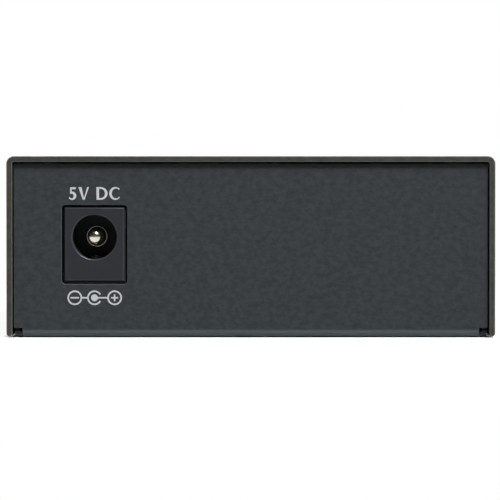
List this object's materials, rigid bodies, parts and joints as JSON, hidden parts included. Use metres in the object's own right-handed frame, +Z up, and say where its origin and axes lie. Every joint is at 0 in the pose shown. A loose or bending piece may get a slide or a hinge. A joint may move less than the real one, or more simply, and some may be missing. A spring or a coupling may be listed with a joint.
{
  "type": "fibre media converter",
  "caption": "Small stand-alone box that links a duplex optical fibre socket to a twisted-pair network socket, with a folded steel case and a barrel power inlet.",
  "frame": {"origin": "middle of the flat underside", "axes": "+Z up, +Y towards the panel with the power socket, so the fibre and network sockets face -Y, +X to the right when those sockets are faced"},
  "size_m": [0.07, 0.094, 0.026],
  "materials": {
    "tray_paint": "fine textured powder coat, dark grey",
    "cover_paint": "fine textured powder coat, warm dark grey",
    "zinc_steel": "bright zinc plate",
    "black_screw": "black oxide",
    "board_green": "solder mask on glass laminate",
    "socket_black": "moulded, fine satin",
    "nickel_contact": "nickel plate",
    "gold_contact": "gold flash on spring bronze",
    "tin_shield": "tinned sheet",
    "insert_blue": "moulded, satin",
    "sleeve_ceramic": "ground zirconia",
    "can_metal": "nickel-iron",
    "package_black": "moulded epoxy",
    "capacitor_can": "drawn can",
    "crystal_lid": "seam-welded lid",
    "ceramic_tan": "fired ceramic with tinned ends",
    "ferrite_grey": "sintered ferrite",
    "light_clear": "clear moulding",
    "lamp_lens": "clear lens on a white base",
    "switch_red": "moulded, satin",
    "slider_white": "moulded, satin"
  },
  "bodies": {
    "housing": {"base_tray": "tray_paint", "top_cover": "cover_paint", "cover_screws": "black_screw", "board_standoffs": "zinc_steel", "board_screws": "zinc_steel", "main_board": "board_green", "dc_jack_housing": "socket_black", "dc_jack_pin": "nickel_contact", "dc_jack_sleeve_spring": "nickel_contact", "dc_jack_switch_contact": "nickel_contact", "rj45_shield": "tin_shield", "rj45_housing": "socket_black", "rj45_contacts": "gold_contact", "rj45_contact_carrier": "socket_black", "sc_receptacle_housing": "socket_black", "sc_latch_inserts": "insert_blue", "sc_sleeves": "sleeve_ceramic", "transmitter_can": "can_metal", "receiver_can": "can_metal", "transceiver_board": "board_green", "transceiver_base": "socket_black", "transceiver_pins": "gold_contact", "converter_chip": "package_black", "isolation_transformer": "package_black", "config_memory": "package_black", "voltage_regulator": "package_black", "crystal": "crystal_lid", "electrolytic_capacitors": "capacitor_can", "power_inductor": "ferrite_grey", "chip_capacitors": "ceramic_tan", "chip_resistors": "package_black", "ferrite_beads": "ferrite_grey", "indicator_leds": "lamp_lens", "light_pipes": "light_clear", "dip_switch_body": "switch_red", "dip_switch_pins": "zinc_steel"},
    "slider_1": {"dip_slider_1": "slider_white"},
    "slider_2": {"dip_slider_2": "slider_white"},
    "slider_3": {"dip_slider_3": "slider_white"},
    "slider_4": {"dip_slider_4": "slider_white"}
  },
  "joints": [
    {"name": "switch_1_slide", "type": "slide", "parent": "housing", "child": "slider_1", "axis": [0, 0, 1], "range_m": [0, 0.0016]},
    {"name": "switch_2_slide", "type": "slide", "parent": "housing", "child": "slider_2", "axis": [0, 0, 1], "range_m": [0, 0.0016]},
    {"name": "switch_3_slide", "type": "slide", "parent": "housing", "child": "slider_3", "axis": [0, 0, 1], "range_m": [0, 0.0016]},
    {"name": "switch_4_slide", "type": "slide", "parent": "housing", "child": "slider_4", "axis": [0, 0, 1], "range_m": [0, 0.0016]}
  ]
}
